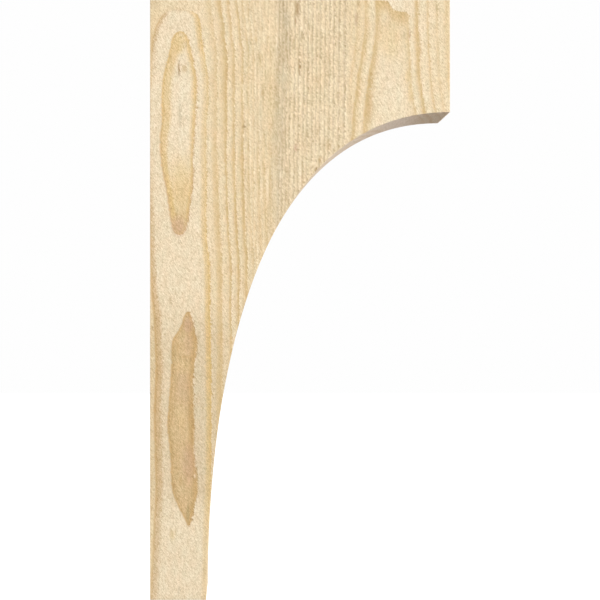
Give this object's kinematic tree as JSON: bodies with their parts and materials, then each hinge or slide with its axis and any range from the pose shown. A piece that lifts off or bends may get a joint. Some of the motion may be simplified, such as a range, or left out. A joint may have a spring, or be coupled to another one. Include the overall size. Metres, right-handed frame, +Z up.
{
  "type": "wooden corbel bracket",
  "caption": "Plain rough-sawn timber corbel bracket: a long wall leg and a short arm joined by one hollow sweep, flat on both sides.",
  "frame": {"origin": "middle of the flat wall face, halfway up the leg and halfway across the thickness", "axes": "+Z up along the wall and the grain, +X straight out from the wall, Y across the thickness of the timber"},
  "size_m": [0.4064, 0.0888, 0.8128],
  "materials": {
    "rough_sawn_fir": "bare pale softwood straight off the saw, unstained and unsealed, with honey-coloured rings and a fine raised fuzz"
  },
  "bodies": {
    "root": {"corbel_bracket": "rough_sawn_fir"}
  },
  "joints": []
}
